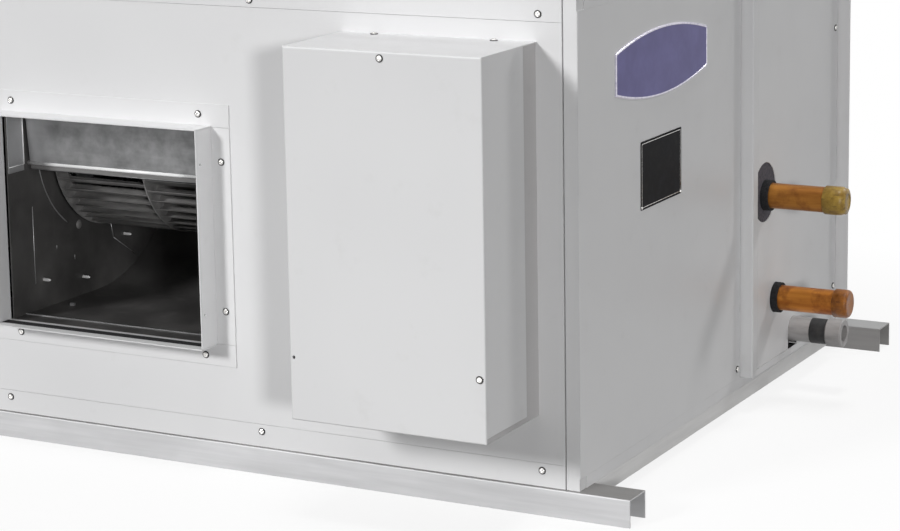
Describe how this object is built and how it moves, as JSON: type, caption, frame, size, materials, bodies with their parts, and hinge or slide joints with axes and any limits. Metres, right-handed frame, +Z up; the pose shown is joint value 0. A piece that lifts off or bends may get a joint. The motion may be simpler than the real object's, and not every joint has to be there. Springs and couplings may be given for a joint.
{
  "type": "ducted air conditioner",
  "caption": "Ceiling-mounted ducted air conditioner: sheet-metal casing on rails, flanged fan outlet, blower, coil with capped pipe stubs, drain, sliding filter and control box.",
  "frame": {"origin": "middle of the whole unit's footprint, at the underside of the rails", "axes": "+X towards the side with the pipe stubs, -Y towards the fan outlet, +Z up"},
  "size_m": [1.637, 1.2182, 0.688],
  "materials": {
    "painted_sheet": "smooth pale grey enamel on sheet steel, slight orange peel",
    "galvanised": "galvanised sheet steel, faint spangle, cut edges",
    "dark_sheet": "blower sheet weathered to a dull dark grey",
    "aluminium": "thin bright fin stock",
    "copper": "drawn copper tube, lightly tarnished",
    "cap": "mottled amber plastic transport cap",
    "foam": "closed-cell black foam, matte",
    "drain_plastic": "grey moulded pipe, matte",
    "motor_paint": "dark enamel on a cast shell",
    "steel_shaft": "ground steel bar",
    "filter_frame": "mill-finish extrusion",
    "filter_mesh": "dark woven nylon mesh",
    "board": "green lacquered circuit board",
    "black_plastic": "black moulded plastic",
    "badge": "violet-blue blank plate with a thin pale rim",
    "nameplate": "blank black foil plate",
    "screw": "bright zinc-plated heads"
  },
  "bodies": {
    "casing": {"front_rail": "painted_sheet", "rear_rail": "painted_sheet", "side_beams": "painted_sheet", "base_pan": "painted_sheet", "front_posts": "painted_sheet", "front_sill": "painted_sheet", "front_header": "painted_sheet", "front_panel": "painted_sheet", "fan_side_panel_right": "painted_sheet", "fan_side_panel_left": "painted_sheet", "coil_frame_right": "painted_sheet", "coil_frame_left": "painted_sheet", "coil_cover_right": "painted_sheet", "coil_cover_left": "painted_sheet", "return_side_right": "painted_sheet", "return_side_left": "painted_sheet", "rear_panel": "painted_sheet", "top_cover": "painted_sheet", "collar_top": "painted_sheet", "collar_right": "painted_sheet", "collar_bottom": "painted_sheet", "collar_left": "painted_sheet", "return_collar": "painted_sheet", "scroll_wrap": "dark_sheet", "blower_side_right": "dark_sheet", "blower_side_left": "dark_sheet", "inlet_rings": "dark_sheet", "cutoff_plate": "galvanised", "blower_feet": "galvanised", "shaft_bearing": "galvanised", "motor_body": "motor_paint", "motor_stand": "galvanised", "coil_fins": "aluminium", "coil_end_plates": "galvanised", "return_bends": "copper", "header_return": "copper", "header_supply": "copper", "pipe_sleeves": "foam", "pipe_gasket": "foam", "drain_pan": "galvanised", "drain_stub": "drain_plastic", "drain_sleeve": "foam", "drain_union": "drain_plastic", "filter_guides": "galvanised", "box_tray": "painted_sheet", "box_cover": "painted_sheet", "control_board": "board", "terminal_block": "black_plastic", "contactor": "black_plastic", "badge_plate": "badge", "nameplate": "nameplate", "screws": "screw", "foam_liners": "foam"},
    "fan_rotor": {"wheel_rings": "dark_sheet", "fan_blades": "dark_sheet", "fan_shaft": "steel_shaft"},
    "filter": {"filter_frame": "filter_frame", "filter_mesh": "filter_mesh"},
    "upper_cap": {"cap_upper": "cap"},
    "lower_cap": {"cap_lower": "cap"}
  },
  "joints": [
    {"name": "fan_spin", "type": "hinge", "parent": "casing", "child": "fan_rotor", "pos_m": [-0.0685, -0.2269, 0.423], "axis": [-1, 0, 0], "continuous": true},
    {"name": "filter_slide", "type": "slide", "parent": "casing", "child": "filter", "axis": [-1, 0, 0], "range_m": [0, 1.3]},
    {"name": "upper_cap_pull", "type": "slide", "parent": "casing", "child": "upper_cap", "axis": [1, 0, 0], "range_m": [0, 0.15]},
    {"name": "lower_cap_pull", "type": "slide", "parent": "casing", "child": "lower_cap", "axis": [1, 0, 0], "range_m": [0, 0.15]}
  ]
}
